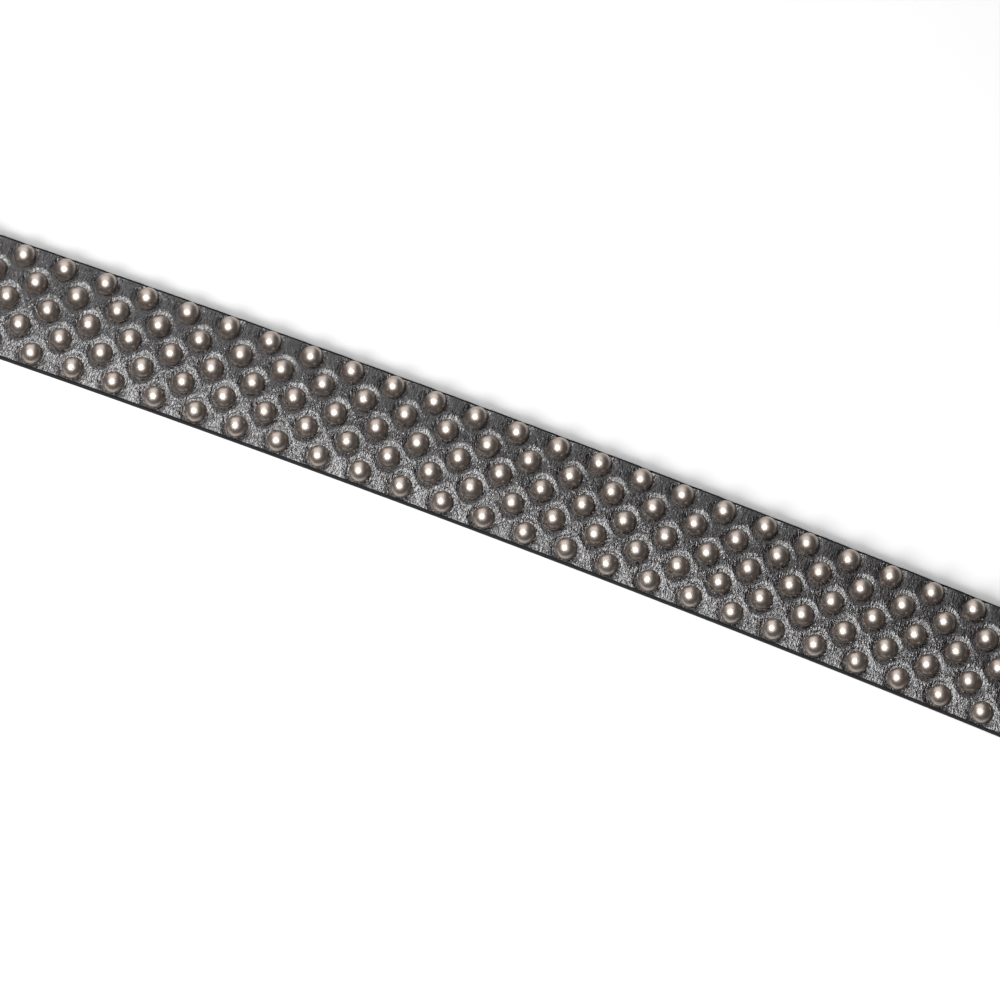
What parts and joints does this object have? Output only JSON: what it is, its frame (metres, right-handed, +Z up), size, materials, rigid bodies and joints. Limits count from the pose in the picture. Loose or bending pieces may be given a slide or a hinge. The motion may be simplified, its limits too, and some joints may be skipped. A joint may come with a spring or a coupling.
{
  "type": "studded leather belt",
  "caption": "Leather waist belt covered with staggered rows of domed metal studs, with a plain prong buckle, a keeper loop and a punched, rounded tip, lying face up.",
  "frame": {"origin": "on the underside, below the middle of the stud field and of the strap's width", "axes": "+X along the belt from the buckle to the tip, +Y across the belt, +Z up out of the studded face"},
  "size_m": [0.9879, 0.0611, 0.0139],
  "materials": {
    "leather": "black finished cowhide, semi-gloss, finely creased",
    "aged_nickel": "aged satin nickel plate, worn smooth"
  },
  "bodies": {
    "root": {"studded_strap": "leather", "keeper": "leather", "buckle": "aged_nickel"}
  },
  "joints": []
}
